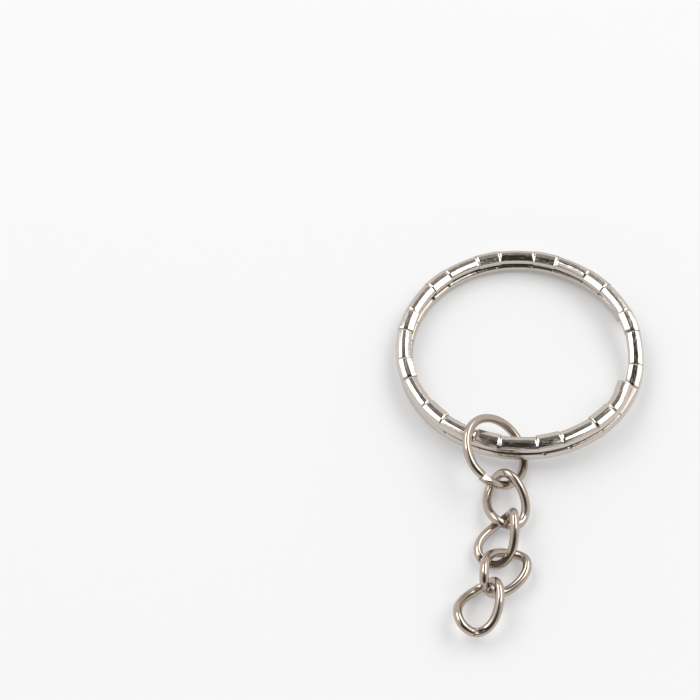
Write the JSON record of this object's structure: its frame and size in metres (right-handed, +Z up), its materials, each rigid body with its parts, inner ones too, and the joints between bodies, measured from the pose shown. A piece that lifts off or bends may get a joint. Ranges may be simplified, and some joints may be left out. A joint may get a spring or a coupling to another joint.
{
  "type": "split_key_ring",
  "caption": "Split key ring of flattened, cross-notched nickel-plated wire, with a round jump ring and a short curb chain of twisted links, lying on a table.",
  "frame": {"origin": "bottom centre of the bounding box, on the table the object lies on", "axes": "+Z up from the table, +Y from the chain's free end towards the far side of the split ring, +X to the right of someone looking along +Y"},
  "size_m": [0.0303, 0.0522, 0.0058],
  "materials": {
    "bright_nickel_plate": "bright nickel plate over spring steel, polished",
    "warm_nickel_plate": "nickel plate over drawn steel wire, bright with a warm tone"
  },
  "bodies": {
    "jump_ring": {"jump_ring": "warm_nickel_plate"},
    "split_ring": {"split_ring": "bright_nickel_plate"},
    "chain_link_1": {"chain_link_1": "warm_nickel_plate"},
    "chain_link_2": {"chain_link_2": "warm_nickel_plate"},
    "chain_link_3": {"chain_link_3": "warm_nickel_plate"},
    "end_link": {"end_link": "warm_nickel_plate"}
  },
  "joints": [
    {"name": "ring_turn", "type": "hinge", "parent": "jump_ring", "child": "split_ring", "pos_m": [0, 0.0109, 0.00217], "axis": [-0.0262, 0.0575, 0.998], "continuous": true},
    {"name": "link_1_lift", "type": "hinge", "parent": "jump_ring", "child": "chain_link_1", "pos_m": [-0.00317, -0.00743, 0.00183], "axis": [-0.7957, -0.3407, 0.5008], "range_deg": [0, 75]},
    {"name": "link_2_lift", "type": "hinge", "parent": "chain_link_1", "child": "chain_link_2", "pos_m": [-0.00297, -0.01259, 0.00159], "axis": [-0.9001, -0.1569, 0.4065], "range_deg": [0, 60]},
    {"name": "link_3_lift", "type": "hinge", "parent": "chain_link_2", "child": "chain_link_3", "pos_m": [-0.00479, -0.01715, 0.00111], "axis": [-0.9158, -0.1517, -0.3718], "range_deg": [0, 45]},
    {"name": "end_link_lift", "type": "hinge", "parent": "chain_link_3", "child": "end_link", "pos_m": [-0.00642, -0.02091, 0.00209], "axis": [-0.6541, 0.2081, 0.7272], "range_deg": [0, 75]}
  ]
}
